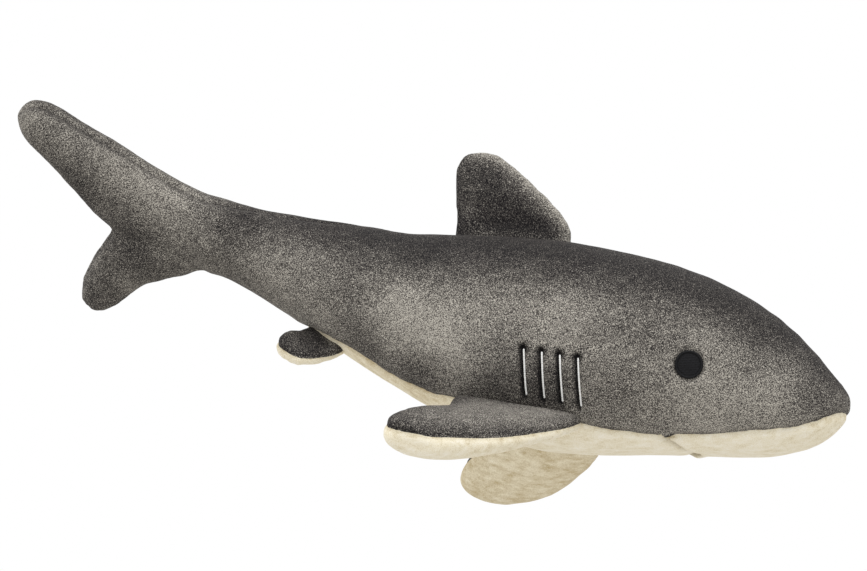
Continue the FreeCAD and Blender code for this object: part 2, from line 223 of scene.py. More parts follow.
def applied(obj):
    """The object's mesh with its modifiers applied, put back on the object."""
    depsgraph = bpy.context.evaluated_depsgraph_get()
    mesh = bpy.data.meshes.new_from_object(obj.evaluated_get(depsgraph))
    obj.modifiers.clear()
    obj.data = mesh
    return obj


def thickened(obj, thickness):
    solid = obj.modifiers.new("thickness", "SOLIDIFY")
    solid.thickness = thickness
    solid.offset = -1.0
    return applied(obj)


def tree_of(node_names):
    """A search tree over the outer faces of several frame nodes."""
    bm = bmesh.new()
    for name in node_names:
        bm.from_mesh(NODES[name].data)
    tree = BVHTree.FromBMesh(bm)
    bm.free()
    return tree


# -------- sewing

def welded(node_names):
    """The closed surfaces of several frame nodes in one mesh."""
    bm = bmesh.new()
    for name in node_names:
        bm.from_mesh(NODES[name].data)
    bmesh.ops.remove_doubles(bm, verts=bm.verts, dist=0.002 * MM)
    return bm


def add_hull(bm, points):
    """Adds the closed convex surface around some points."""
    verts = [bm.verts.new(p) for p in points]
    result = bmesh.ops.convex_hull(bm, input=verts)
    inside = result["geom_interior"] + result["geom_unused"]
    spare = [g for g in inside if isinstance(g, bmesh.types.BMVert)]
    bmesh.ops.delete(bm, geom=list(set(v for v in spare if v.is_valid)), context="VERTS")


def bridge_groove(bm, node_names, low, high):
    """Closes the groove of a fin root with the hull of the convex body between two places."""
    places = [v.co.copy() for name in node_names for v in NODES[name].data.vertices]
    add_hull(bm, [p for p in places if low < p.x < high])


def islands(bm):
    """The connected surfaces of a mesh, each as a list of its vertices."""
    left, found = set(bm.verts), []
    while left:
        stack, island = [left.pop()], []
        while stack:
            v = stack.pop()
            island.append(v)
            for edge in v.link_edges:
                other = edge.other_vert(v)
                if other in left:
                    left.remove(other)
                    stack.append(other)
        found.append(island)
    return found


def largest_island(bm):
    """Deletes everything but the largest connected surface."""
    keep = set(max(islands(bm), key=len))
    bmesh.ops.delete(bm, geom=[v for v in bm.verts if v not in keep], context="VERTS")


def even_surface(name, bm, voxel):
    """One even quad surface over a closed form, smoothed and laid back on it."""
    target = BVHTree.FromBMesh(bm)
    obj = object_from(name, mesh_from(name, bm))
    remesh = obj.modifiers.new("even", "REMESH")
    remesh.mode = "VOXEL"
    remesh.voxel_size = voxel
    applied(obj)
    bm = bmesh.new()
    bm.from_mesh(obj.data)
    bpy.data.objects.remove(obj)
    largest_island(bm)
    for _ in range(4):
        relax(bm)
        for v in bm.verts:
            place, _, _, distance = target.find_nearest(v.co)
            if distance < 0.6 * voxel:
                v.co = v.co.lerp(place, 0.8)
    relax(bm)
    return bm


def section_ring(form, place, away, along_root, front_edge, rear_edge, lift):
    """Outline points of a form in the plane through a place. Its ends are rounded off to soft edges of
    the given radii, the rear one lifted."""
    part = form.copy()
    everything = part.verts[:] + part.edges[:] + part.faces[:]
    result = bmesh.ops.bisect_plane(part, geom=everything, plane_co=place, plane_no=away)
    ring = [g.co.copy() for g in result["geom_cut"] if isinstance(g, bmesh.types.BMVert)]
    part.free()
    through = away.cross(along_root)
    ends = max(ring, key=lambda p: p.dot(along_root)), min(ring, key=lambda p: p.dot(along_root))
    for end, other, inward in ((*ends, -1), (*reversed(ends), 1)):
        radius, raised = (rear_edge, lift) if end.x < other.x else (front_edge, 0)
        for k in range(12):
            a = 2 * math.pi * k / 12
            across = through * (raised + radius * math.sin(a))
            ring.append(end + along_root * radius * (inward + math.cos(a)) + across)
    return ring


def fin_form(key, panels, hinge, away, axis, shape):
    """The closed form of a fin: convex slices along its span above the roll, led straight into the body."""
    low, depth, front_edge, rear_edge, lift = [value * MM for value in shape]
    whole = welded(panels + (f"{key}_stuffing",))
    span = max((v.co - hinge).dot(away) for v in whole.verts) - 0.8 * MM
    count = int((span - low) / (3 * MM))
    heights = [low + (span - low) * i / count for i in range(count + 1)]
    rings = []
    for height in heights:
        share = smoothstep(0.2 * span, 0.7 * span, height)
        radius = front_edge + (rear_edge - front_edge) * share
        place = hinge + away * height
        rings.append(section_ring(whole, place, away, axis, front_edge, radius, lift * share))
    bm = bmesh.new()
    add_hull(bm, rings[0] + [p - away * (low + depth) for p in rings[0]])
    for one, two in zip(rings, rings[1:]):
        add_hull(bm, one + two)
    add_hull(bm, rings[-1] + [v.co.copy() for v in whole.verts if (v.co - hinge).dot(away) > span])
    whole.free()
    return even_surface(f"{key}_form", bm, bpy.context.scene.shark_sizes.fin_voxel)


def cut_line(bm, layer, value, keep=None):
    """Cuts the surface where value changes sign, so that a seam runs along edges.
    value is stored on the vertices in a layer. keep limits the cut to some faces."""
    for v in bm.verts:
        v[layer] = value(v.co)
    in_cut = lambda edge: keep is None or any(keep(f) for f in edge.link_faces)
    for edge in [e for e in bm.edges if in_cut(e)]:
        a, b = edge.verts
        if a[layer] * b[layer] < 0:
            t = a[layer] / (a[layer] - b[layer])
            near, other, share = (a, b, t) if t < 0.5 else (b, a, 1 - t)
            if share < 0.22:
                near.co = near.co.lerp(other.co, share)
                near[layer] = 0.0
    for edge in [e for e in bm.edges if in_cut(e)]:
        a, b = edge.verts
        if a[layer] * b[layer] < 0:
            t = a[layer] / (a[layer] - b[layer])
            _, vert = bmesh.utils.edge_split(edge, a, t)
            vert[layer] = 0.0
    for face in [f for f in bm.faces if keep is None or keep(f)]:
        on_line = [v for v in face.verts if v[layer] == 0.0]
        if len(on_line) == 2 and not bm.edges.get(on_line):
            bmesh.utils.face_split(face, on_line[0], on_line[1])


def side_of(face, layer):
    return sum(v[layer] for v in face.verts) > 0


def seam_track(node_names, skipped, step, near):
    """The right and left edges of a strip of panels along the body, as places by x.
    skipped holds the spans of x where a fin root interrupts the edges."""
    points = [v.co for name in node_names for v in NODES[name].data.vertices]
    low, high = min(p.x for p in points), max(p.x for p in points)
    track = []
    for i in range(int((high - low) / step) + 1):
        x = low + 1 * MM + i * step
        if any(a < x < b for a, b in skipped):
            continue
        ring = [p for p in points if abs(p.x - x) < near]
        if len(ring) > 3:
            track.append((x, min(ring, key=lambda p: p.y), max(ring, key=lambda p: p.y)))
    even = []
    for i, (x, right, left) in enumerate(track):
        a, b = track[max(0, i - 1)], track[min(len(track) - 1, i + 1)]
        even.append((x, (a[1] + 2 * right + b[1]) / 4, (a[2] + 2 * left + b[2]) / 4) if b[0] - a[0] < 20 * MM
                    else (x, right, left))
    return even


def on_track(track, x):
    """Right and left seam points at x, on a smooth curve through the track."""
    last = len(track) - 1
    i = max(0, min(last - 1, sum(1 for row in track if row[0] <= x) - 1))
    x0, x1 = track[i][0], track[i + 1][0]
    t = min(1.0, max(0.0, (x - x0) / (x1 - x0)))
    found = []
    for k in (1, 2):
        slopes = []
        for j in (i, i + 1):
            a, b = track[max(0, j - 1)], track[min(last, j + 1)]
            slopes.append((b[k] - a[k]) / (b[0] - a[0]) * (x1 - x0))
        p, q = track[i][k], track[i + 1][k]
        t2, t3 = t * t, t * t * t
        found.append(p * (2 * t3 - 3 * t2 + 1) + slopes[0] * (t3 - 2 * t2 + t)
                     + q * (3 * t2 - 2 * t3) + slopes[1] * (t3 - t2))
    return found


def above_strip(track, taper):
    """A function of a place: how far it is above the line between the strip's two seams.
    Over the taper's length the strip narrows to a point at its rear end."""
    rear = track[0][0]
    spaced = [on_track(track, rear + i * MM) for i in range(int((track[-1][0] - rear) / MM) + 1)]

    def value(co):
        at = (co.x - rear) / MM
        i = max(0, min(len(spaced) - 2, int(at)))
        share = max(0.0, min(1.0, at - i))
        right, left = [spaced[i][k].lerp(spaced[i + 1][k], share) for k in (0, 1)]
        across = left - right
        up = Vector((0, -across.z, across.y)).normalized()
        lift = 6 * MM * (1 - smoothstep(rear, rear + taper, co.x))
        return (co - right).dot(up) + lift
    return value


def seam_edges(bm, label):
    inner = [e for e in bm.edges if len(e.link_faces) == 2]
    return [e for e in inner if e.link_faces[0][label] != e.link_faces[1][label]]


def swell(obj, pressure, cap):
    """Lets the filling push the fabric out between its seams: a short cloth run with the seams held."""
    before = [v.co.copy() for v in obj.data.vertices]
    cloth = obj.modifiers.new("swell", "CLOTH")
    cloth.settings.use_pressure = True
    cloth.settings.uniform_pressure_force = pressure
    cloth.settings.vertex_group_mass = "seams"
    cloth.settings.effector_weights.gravity = 0
    cloth.settings.quality = 4
    cloth.settings.tension_stiffness = 12
    cloth.settings.compression_stiffness = 12
    cloth.settings.bending_stiffness = 1.5
    scene = bpy.context.scene
    cloth.point_cache.frame_start = 1
    cloth.point_cache.frame_end = 20
    for number in range(1, 21):
        scene.frame_set(number)
    applied(obj)
    scene.frame_set(1)
    moved = 0.0
    for v, old in zip(obj.data.vertices, before):
        step = v.co - old
        if step.length > 1e-9:
            step *= cap * math.tanh(step.length / cap) / step.length
        moved = max(moved, step.length)
        v.co = old + step
    print("swell", obj.name, len(before), "max move mm", round(moved / MM, 2))
    return obj


def sewn_form(name, bm, labels, pressure, cap, sunk):
    """A stuffed form cut into panels along its seams, swollen between them.
    labels is a list of (value, keep) cuts and the function that names each face's panel."""
    cuts, label_of = labels
    layers = [bm.verts.layers.float.new(f"cut_{i}") for i in range(len(cuts))]
    for layer, (value, keep) in zip(layers, cuts):
        keep_face = None if keep is None else (lambda f, k=keep: k(f, layers))
        cut_line(bm, layer, value, keep_face)
    label = bm.faces.layers.int.new("panel")
    for face in bm.faces:
        face[label] = label_of(face, layers)
    bm.verts.index_update()
    held = sorted({v.index for e in seam_edges(bm, label) for v in e.verts})
    for v, normal in with_normals(bm):
        v.co -= normal * sunk * MM
    obj = object_from(name, mesh_from(name, bm))
    group = obj.vertex_groups.new(name="seams")
    group.add(held, 1.0, "REPLACE")
    swell(obj, pressure, cap * MM)
    return obj


def refined(obj, levels=1):
    divide = obj.modifiers.new("divide", "SUBSURF")
    divide.levels = divide.render_levels = levels
    applied(obj)
    bm = bmesh.new()
    bm.from_mesh(obj.data)
    bpy.data.objects.remove(obj)
    return bm


def seam_points(bm, between=None, spacing=0.7 * MM):
    """Points along the seams of a labelled surface, or along one between two panels, as a search tree."""
    label = bm.faces.layers.int["panel"]
    points = []
    for edge in seam_edges(bm, label):
        if between and {f[label] for f in edge.link_faces} != set(between):
            continue
        a, b = edge.verts[0].co, edge.verts[1].co
        steps = max(1, int((b - a).length / spacing))
        points += [a.lerp(b, i / steps) for i in range(steps)]
    return point_tree(points)


def tuck_seams(bm, tree, depth, width):
    """Draws the fabric in along the seams, with small uneven puckers beside them."""
    for v, normal in with_normals(bm):
        distance = tree.find(v.co)[2]
        gather = 0.35 * MM * noise.noise(v.co / (7 * MM)) * bell(distance, 3.2 * width)
        v.co -= normal * (depth * bell(distance, width) - gather)


def refine_near(bm, tree, reach):
    """Halves the mesh size within reach of a set of points."""
    near = {v for v in bm.verts if tree.find(v.co)[2] < reach}
    edges = [e for e in bm.edges if e.verts[0] in near and e.verts[1] in near]
    bmesh.ops.subdivide_edges(bm, edges=edges, cuts=1, use_grid_fill=True, smooth=0.0)


def fill_tips(bm, tips):
    """Stuffs the narrow ends of a form out. tips holds places, how far each is pushed out and its reach."""
    for v, normal in with_normals(bm):
        v.co += normal * sum(push * bell((v.co - tip).length, reach) for tip, push, reach in tips)


def uneven(bm, height, size):
    """Slow bumps of the filling under the fabric."""
    for v, normal in with_normals(bm):
        slow = noise.noise(v.co / size + Vector((3.1, 7.7, 1.3)))
        fine = noise.noise(v.co / (size * 0.35) + Vector((9.2, 2.4, 5.9)))
        v.co += normal * height * (slow + 0.4 * fine)


def panel_piece(bm, number, name, thickness):
    """One panel of a labelled surface as a piece of fabric with its own thickness."""
    part = bm.copy()
    label = part.faces.layers.int["panel"]
    bmesh.ops.delete(part, geom=[f for f in part.faces if f[label] != number], context="FACES")
    return thickened(smooth_object(name, part), thickness)


def filling_piece(bm, name, depth):
    """The stuffing: the same form drawn in by a depth, or less where the form is thin."""
    part = bm.copy()
    part.normal_update()
    tree = BVHTree.FromBMesh(part)
    moves = []
    for v in part.verts:
        hit, _, _, distance = tree.ray_cast(v.co - v.normal * 0.2 * MM, -v.normal)
        room = distance if hit else 2 * depth
        moves.append(min(depth, 0.36 * room))
    for (v, normal), move in zip(with_normals(part), moves):
        v.co -= normal * move
    for _ in range(3):
        relax(part)
    return smooth_object(name, part)


def chains(edges):
    """Orders loose seam edges into runs of points."""
    at = {}
    for edge in edges:
        for v in edge.verts:
            at.setdefault(v, []).append(edge)
    left, runs = set(edges), []
    ends = [v for v in at if len(at[v]) != 2] + list(at)
    for start in ends:
        for first in at[start]:
            if first not in left:
                continue
            run, v, edge = [start.co.copy()], start, first
            while edge in left:
                left.remove(edge)
                v = edge.other_vert(v)
                run.append(v.co.copy())
                onward = [e for e in at[v] if e in left]
                if len(at[v]) != 2 or not onward:
                    break
                edge = onward[0]
            runs.append(run)
    return runs


def along(run, spacing):
    """Points at an even spacing along a run of points."""
    found, rest = [run[0]], spacing
    for a, b in zip(run, run[1:]):
        length = (b - a).length
        at = rest
        while at <= length and length > 0:
            found.append(a.lerp(b, at / length))
            at += spacing
        rest = at - length
    return found


def tube(bm, points, normals, radii, flatness=1.0, sides=8):
    """A closed tube along points; normals give its upper side, flatness its height by its width."""
    rings = []
    for i, (p, normal, radius) in enumerate(zip(points, normals, radii)):
        ahead = points[min(i + 1, len(points) - 1)] - points[max(i - 1, 0)]
        across = ahead.cross(normal).normalized()
        up = across.cross(ahead).normalized()
        ring = []
        for k in range(sides):
            a = 2 * math.pi * k / sides
            place = p + across * radius * math.cos(a) + up * radius * flatness * math.sin(a)
            ring.append(bm.verts.new(place))
        rings.append(ring)
    for one, two in zip(rings, rings[1:]):
        for k in range(sides):
            bm.faces.new((one[k], one[(k + 1) % sides], two[(k + 1) % sides], two[k]))
    bm.faces.new(rings[0])
    bm.faces.new(list(reversed(rings[-1])))


def stitched_thread(name, edges, surface, depth, stitch=2.6 * MM, radius=0.2 * MM):
    """Sewing thread along a seam as a row of single stitches, below the face of the fabric."""
    bm = bmesh.new()
    for run in chains(edges):
        places = along(run, stitch / 6)
        for i in range(0, len(places) - 6, 7):
            part = places[i:i + 7]
            normals = [surface.find_nearest(p)[1] for p in part]
            inner = [p - n * depth * (1 - 0.18 * math.sin(math.pi * k / 6))
                     for k, (p, n) in enumerate(zip(part, normals))]
            tube(bm, inner, normals, [radius * (0.55 if k in (0, 6) else 1.0) for k in range(7)], sides=6)
    bmesh.ops.recalc_face_normals(bm, faces=bm.faces)
    return smooth_object(name, bm)


def islands_of(node_name):
    """The separate solids of a frame node, each as a list of points."""
    bm = welded((node_name,))
    found = [[v.co.copy() for v in island] for island in islands(bm)]
    bm.free()
    return sorted(found, key=lambda points: points[0].x)


def upright_line(points, steps=16):
    """The middle line of an upright bar, from its top to its foot."""
    low, high = min(p.z for p in points), max(p.z for p in points)
    line = []
    for i in range(steps):
        z = high - (high - low) * i / (steps - 1)
        weights = [bell(p.z - z, 1.2 * MM) for p in points]
        total = sum(weights)
        place = sum((p * w for p, w in zip(points, weights)), Vector()) / total
        line.append(Vector((place.x, place.y, z)))
    return line


def dress(obj, material, nodes, fill=None):
    obj.data.materials.clear()
    obj.data.materials.append(material)
    if nodes:
        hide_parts(*nodes)
    return obj


# -------- materials

def pile_material(name, dark, mid, light, sheen, speckling, clumping):
    """Short-pile polyester plush, knitted, sheared and brushed: it gives the eye a soft, slightly
    mottled surface, with painted shade and painted light laid on it, partly the lie of the pile."""
    material, tree = new_material(name)
    place = add(tree, "ShaderNodeTexCoord").outputs["Object"]
    # pile tufts are about 0.3 mm apart, drawn coarser so that they still show
    speckle = add(tree, "ShaderNodeTexNoise", {"Scale": 1 / (0.42 * MM), "Detail": 1.0, "Roughness": 0.6},
                  {"Vector": place}).outputs["Fac"]
    mapping = add(tree, "ShaderNodeMapping", {"Scale": (0.5, 1.0, 1.0)}, {"Vector": place})
    along_body = mapping.outputs["Vector"]
    # clumps of pile 3 mm across, and brushed patches of 30 to 60 mm, both longer along the body
    clump = add(tree, "ShaderNodeTexNoise", {"Scale": 1 / (3.0 * MM), "Detail": 2.0, "Roughness": 0.6},
                {"Vector": along_body}).outputs["Fac"]
    patch = add(tree, "ShaderNodeTexNoise", {"Scale": 1 / (36 * MM), "Detail": 4.0, "Roughness": 0.6},
                {"Vector": along_body}).outputs["Fac"]
    # painted light and painted shade per vertex, partly the lie of the pile
    total = add(tree, "ShaderNodeAttribute", {"attribute_name": "nap_and_painted_light"}).outputs["Fac"]
    for source, share in ((speckle, speckling), (clump, clumping), (patch, 0.5)):
        centred = {"operation": "MULTIPLY_ADD", 1: share, 2: -0.5 * share}
        scaled = add(tree, "ShaderNodeMath", centred, {0: source}).outputs[0]
        total = add(tree, "ShaderNodeMath", {"operation": "ADD"}, {0: total, 1: scaled}).outputs[0]
    # painted shade in the creases of the seams, the gill grooves, round the eyes and at the mouth
    painted_shade = add(tree, "ShaderNodeAttribute", {"attribute_name": "painted_shade"}).outputs["Fac"]
    deep = add(tree, "ShaderNodeMath", {"operation": "MULTIPLY", 1: 0.75}, {0: painted_shade}).outputs[0]
    total = add(tree, "ShaderNodeMath", {"operation": "SUBTRACT"}, {0: total, 1: deep}).outputs[0]
    ramp = add(tree, "ShaderNodeValToRGB", {}, {"Fac": total})
    elements = ramp.color_ramp.elements
    elements[0].position, elements[0].color = 0.0, linear(dark)
    elements[1].position, elements[1].color = 1.0, linear(light)
    elements.new(0.5).color = linear(mid)
    # the creases between the panels are in shade
    shade = add(tree, "ShaderNodeMath", {"operation": "MULTIPLY_ADD", 1: -0.6, 2: 1.0}, {0: painted_shade}).outputs[0]
    colour = add(tree, "ShaderNodeHueSaturation", {}, {"Color": ramp.outputs["Color"], "Value": shade})
    tufts = {"operation": "MULTIPLY_ADD", 1: 0.45}
    height = add(tree, "ShaderNodeMath", tufts, {0: clump, 2: speckle}).outputs[0]
    bump = add(tree, "ShaderNodeBump", {"Strength": 0.55, "Distance": 0.5 * MM}, {"Height": height})
    shader = add(tree, "ShaderNodeBsdfPrincipled",
                 {"Roughness": 0.85, "Specular IOR Level": 0.15, "Sheen Weight": sheen,
                  "Sheen Roughness": 0.4, "Sheen Tint": linear(mid)},
                 {"Base Color": colour.outputs["Color"], "Normal": bump.outputs["Normal"]})
    add(tree, "ShaderNodeOutputMaterial", {}, {"Surface": shader.outputs["BSDF"]})
    return material


def thread_material(name, colour, sheen_colour, roughness, specular, coat):
    """Embroidery thread: smooth filaments laid side by side, which gives the eye a silky line."""
    material, tree = new_material(name)
    place = add(tree, "ShaderNodeTexCoord").outputs["Object"]
    strands = add(tree, "ShaderNodeTexNoise", {"Scale": 1 / (0.6 * MM), "Detail": 2.0},
                  {"Vector": place}).outputs["Fac"]
    ramp = add(tree, "ShaderNodeValToRGB", {}, {"Fac": strands})
    elements = ramp.color_ramp.elements
    elements[0].position, elements[0].color = 0.3, linear(colour)
    elements[1].position, elements[1].color = 0.7, linear(sheen_colour)
    bump = add(tree, "ShaderNodeBump", {"Strength": 0.4, "Distance": 0.15 * MM}, {"Height": strands})
    shader = add(tree, "ShaderNodeBsdfPrincipled", {"Roughness": roughness, "Specular IOR Level": specular,
                                                    "Coat Weight": coat, "Coat Roughness": 0.35},
                 {"Base Color": ramp.outputs["Color"], "Normal": bump.outputs["Normal"]})
    add(tree, "ShaderNodeOutputMaterial", {}, {"Surface": shader.outputs["BSDF"]})
    return material


def fibre_material(name, colour, shade):
    """Loose polyester fibre or non-woven backing: a matt, slightly cloudy white."""
    material, tree = new_material(name)
    place = add(tree, "ShaderNodeTexCoord").outputs["Object"]
    cloud = add(tree, "ShaderNodeTexNoise", {"Scale": 1 / (4 * MM), "Detail": 4.0},
                {"Vector": place}).outputs["Fac"]
    ramp = add(tree, "ShaderNodeValToRGB", {}, {"Fac": cloud})
    ramp.color_ramp.elements[0].color = linear(shade)
    ramp.color_ramp.elements[1].color = linear(colour)
    bump = add(tree, "ShaderNodeBump", {"Strength": 0.6, "Distance": 0.5 * MM}, {"Height": cloud})
    shader = add(tree, "ShaderNodeBsdfPrincipled", {"Roughness": 0.95, "Specular IOR Level": 0.1},
                 {"Base Color": ramp.outputs["Color"], "Normal": bump.outputs["Normal"]})
    add(tree, "ShaderNodeOutputMaterial", {}, {"Surface": shader.outputs["BSDF"]})
    return material


GREY = "grey plush, knitted and sheared"
CREAM = "cream plush, knitted and sheared"
BLACK_THREAD = "black polyester thread, satin-stitched"
SILVER_THREAD = "silver rayon thread, satin-stitched"
SEWING_THREAD = "grey polyester sewing thread, twisted"
FIBRE = "white polyester fibre, carded"

# Two colours, roughness, specular level and coat of each thread
THREADS = {
    BLACK_THREAD: ("#010102", "#141418", 0.6, 0.2, 0.0),
    SILVER_THREAD: ("#d0d0ce", "#fafaf8", 0.35, 0.5, 0.3),
    SEWING_THREAD: ("#2e2c2a", "#4c4946", 0.6, 0.4, 0.0),
}


def material_named(name):
    found = bpy.data.materials.get(name)
    if found:
        return found
    looks = bpy.context.scene.shark_looks
    if name == GREY:
        return pile_material(name, looks.grey_dark, looks.grey_mid, looks.grey_light, looks.grey_sheen,
                             speckling=2.8, clumping=0.35)
    if name == CREAM:
        return pile_material(name, looks.cream_dark, looks.cream_mid, looks.cream_light, looks.cream_sheen,
                             speckling=0.9, clumping=0.8)
    if name in THREADS:
        return thread_material(name, *THREADS[name])
    return fibre_material(name, "#eceae4", "#cfccc4")


# -------- settings

class SharkSizes(bpy.types.PropertyGroup):
    body_voxel: bpy.props.FloatProperty(
        name="Body mesh size", description="Even mesh size of the body skins", default=2.8 * MM, unit="LENGTH")
    fin_voxel: bpy.props.FloatProperty(
        name="Fin mesh size", description="Even mesh size of the fin skins", default=2.0 * MM, unit="LENGTH")
    seam_depth: bpy.props.FloatProperty(
        name="Seam depth", description="How far a seam draws the fabric in", default=1.3 * MM, unit="LENGTH")
    seam_width: bpy.props.FloatProperty(
        name="Seam width", description="How far from a seam the fabric starts to turn in", default=2.2 * MM,
        unit="LENGTH")
    fabric: bpy.props.FloatProperty(
        name="Fabric", description="Thickness of the plush fabric", default=1.6 * MM, unit="LENGTH")
    eye_radius: bpy.props.FloatProperty(
        name="Eye radius", description="Radius of an embroidered eye", default=6.3 * MM, unit="LENGTH")
    gill_width: bpy.props.FloatProperty(
        name="Gill width", description="Width of a gill's satin stitch", default=0.85 * MM, unit="LENGTH")


class SharkLooks(bpy.types.PropertyGroup):
    # the dark and light ends of each pile's colour ramp also serve as painted shade and painted light
    grey_dark: bpy.props.StringProperty(name="Grey, dark", description="Pile that stands up", default="#121013")
    grey_mid: bpy.props.StringProperty(name="Grey", description="Pile as it mostly lies", default="#57534f")
    grey_light: bpy.props.StringProperty(name="Grey, light", description="Brushed pile", default="#bab5ab")
    grey_sheen: bpy.props.FloatProperty(
        name="Grey sheen", description="Soft light along the edges of the pile", default=0.4, subtype="FACTOR")
    cream_dark: bpy.props.StringProperty(name="Cream, dark", description="Shaded pile", default="#b5a27a")
    cream_mid: bpy.props.StringProperty(name="Cream", description="Pile as it mostly lies", default="#e6ddc5")
    cream_light: bpy.props.StringProperty(name="Cream, light", description="Brushed pile", default="#f6f2e8")
    cream_sheen: bpy.props.FloatProperty(
        name="Cream sheen", description="Soft light along the edges of the pile", default=0.2, subtype="FACTOR")


# -------- pieces

SKIN = {}  # the finished outer surface of the body, which the embroidery lies on


def body_seams():
    """Cuts that part the body form into its four panels, and the function that names a face's panel."""
    spans = []
    for key in ("right_pectoral", "left_pectoral", "right_pelvic", "left_pelvic"):
        hinge = Vector(JOINTS[FINS[key][1]]["pos_m"])
        reach = 36 * MM if "pectoral" in key else 20 * MM
        spans.append((hinge.x - reach, hinge.x + reach))
    track = seam_track(("belly_panel", "snout_panel"), spans, 6 * MM, 1.6 * MM)
    strip = above_strip(track, 34 * MM)
    trees = {key: tree_of(group) for key, group in BODY_PANELS.items()}
    gap = lambda key, co: trees[key].find_nearest(co)[3]

    def back_seam(co):
        # the seam has slipped round to the right side of the tail
        slip = BACK_SLIP * smoothstep(215, 300, (CAD_BOX[1].x - co.x) / MM)
        return gap("right_side", co) - gap("left_side", co) + slip

    def mouth_seam(co):
        # the sewn arc lies flatter than its pattern
        flatter = max(-5.0, min(5.0, 0.45 * (abs(co.y) / MM - 14)))
        return gap("belly", co) - gap("snout", co) + flatter * MM

    cuts = [
        (lambda co: -strip(co), None),
        (back_seam, lambda f, layers: not side_of(f, layers[0])),
        (mouth_seam, lambda f, layers: side_of(f, layers[0])),
    ]

    def label_of(face, layers):
        if side_of(face, layers[0]):
            return 3 if side_of(face, layers[2]) else 2
        return 1 if side_of(face, layers[1]) else 0

    return cuts, label_of


def body_form():
    """The closed form of trunk and tail together, with the grooves of the fins bridged."""
    bm = welded([n for group in BODY_PANELS.values() for n in group] + list(BODY_FILLING))
    trunk = ("right_side_panel", "left_side_panel", "belly_panel", "body_stuffing")
    margin = 14 * MM
    for _, joint_name, fin_panels in FINS.values():
        hinge = JOINTS[joint_name]["pos_m"][0]
        low = min(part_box(n)[0].x for n in fin_panels)
        high = max(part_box(n)[1].x for n in fin_panels)
        reach = min(max(high - hinge, hinge - low), 32 * MM) + margin
        bridge_groove(bm, trunk, hinge - reach, hinge + reach)
    return even_surface("body_form", bm, bpy.context.scene.shark_sizes.body_voxel)


def press_gills(bm, lines, depth):
    """Draws the fabric in behind each gill stitch and in a hollow at its top, and paints shade into both."""
    tree = point_tree([p for line in lines for p in line])
    pits = point_tree([line[0] for line in lines])
    painted_shade = bm.verts.layers.float["painted_shade"]
    for v, normal in with_normals(bm):
        place, _, distance = tree.find(v.co)
        if distance > 6 * MM:
            continue
        side = smoothstep(-0.3 * MM, 0.3 * MM, place.x - v.co.x)
        groove = bell(distance - 0.7 * MM, 1.5 * MM) * (0.2 + 0.8 * side)
        hole = bell(pits.find(v.co)[2], 1.7 * MM)
        v.co -= normal * depth * min(1.2, groove + 0.9 * hole)
        # painted shade in the groove behind the stitch and in the hollow at its top
        v[painted_shade] = max(v[painted_shade], min(1.0, 0.9 * groove * side + hole))


def press_eye(bm, centre, radius, depth):
    """The stitches of an eye hold the fabric down under them."""
    painted_shade = bm.verts.layers.float["painted_shade"]
    for v, normal in with_normals(bm):
        distance = (v.co - centre).length
        if distance < radius + 3 * MM:
            held = 1 - smoothstep(radius - 0.6 * MM, radius + 1.8 * MM, distance)
            v.co -= normal * depth * held
            # painted shade where the stitches hold the fabric down
            v[painted_shade] = max(v[painted_shade], 0.15 * held)


def roll_lip(bm, tree, layer, height):
    """The seam of the mouth: the snout's edge stands up as a soft lip, and the belly's edge sinks behind it."""
    painted_shade = bm.verts.layers.float["painted_shade"]
    for v, normal in with_normals(bm):
        distance = tree.find(v.co)[2] / MM
        if distance > 9:
            continue
        crease = 0.9 * bell(distance, 0.8)
        # painted shade in the crease, light on the snout's lip and deep on the belly's edge
        if v[layer] > 0:
            v.co += normal * height * (bell(distance - 2.0, 1.5) - crease)
            v[painted_shade] = max(v[painted_shade], 0.3 * bell(distance, 0.8))
        else:
            v.co -= normal * height * (0.9 * bell(distance - 1.2, 2.2) + crease)
            v[painted_shade] = max(v[painted_shade], bell(distance, 1.3))


def nap_and_painted_light_of_body(co, normal, nose):
    """Painted light and shade of the pile at a place on the body, by which way its face turns: painted shade
    along the back and under the tail, painted light on the flank, with patches that are partly brushed pile."""
    # painted light where the face turns sideways, painted shade where it turns up (less on the tail) and, on
    # the tail, where it turns down
    rear = smoothstep(230, 275, (nose - co.x) / MM)
    nap_and_light = 0.42 + 0.14 * smoothstep(0.75, 0.05, normal.z)
    nap_and_light -= (0.38 - 0.32 * rear) * smoothstep(0.15, 0.9, normal.z)
    nap_and_light -= 0.14 * rear * smoothstep(-0.35, -0.9, normal.z)
    # patches of painted light and painted shade, partly brushed pile
    for behind, height, reach, amount in NAP_AND_PAINTED_LIGHT_PATCHES:
        away = (nose - co.x - behind * MM) ** 2 + (co.z - height * MM) ** 2
        nap_and_light += amount * math.exp(-away / (reach * MM) ** 2)
    return nap_and_light


def nap_and_painted_light_of_fin(key, distance, forward, above_root, underside):
    """Painted light and shade of the pile on a fin: the faces dark or light, painted light along the dorsal's
    edges, painted shade at its root, along the other fins' edges and under the far pectoral.
    """
    edge = bell(distance, 7 * MM)
    shade = 0.16 * (1 - smoothstep(5 * MM, 17 * MM, above_root))
    if key == "dorsal":
        # painted light along the front and top edges, painted shade at the root
        return 0.13 + 0.75 * edge * smoothstep(-0.9, -0.45, forward) - shade
    if underside:
        # painted shade along the edges, and over all of the far (left) pectoral's underside
        return 0.62 - 0.12 * edge - (0.34 if key == "left_pectoral" else 0)
    if "pelvic" in key:
        mottled = noise.noise(Vector((forward * 3, above_root / (9 * MM), 4.2)))
        return 0.04 + 0.4 * smoothstep(-0.5, 1.0, mottled)
    # painted shade along the edges of the pectoral's top
    return 0.50 + 0.10 * forward - 0.24 * edge


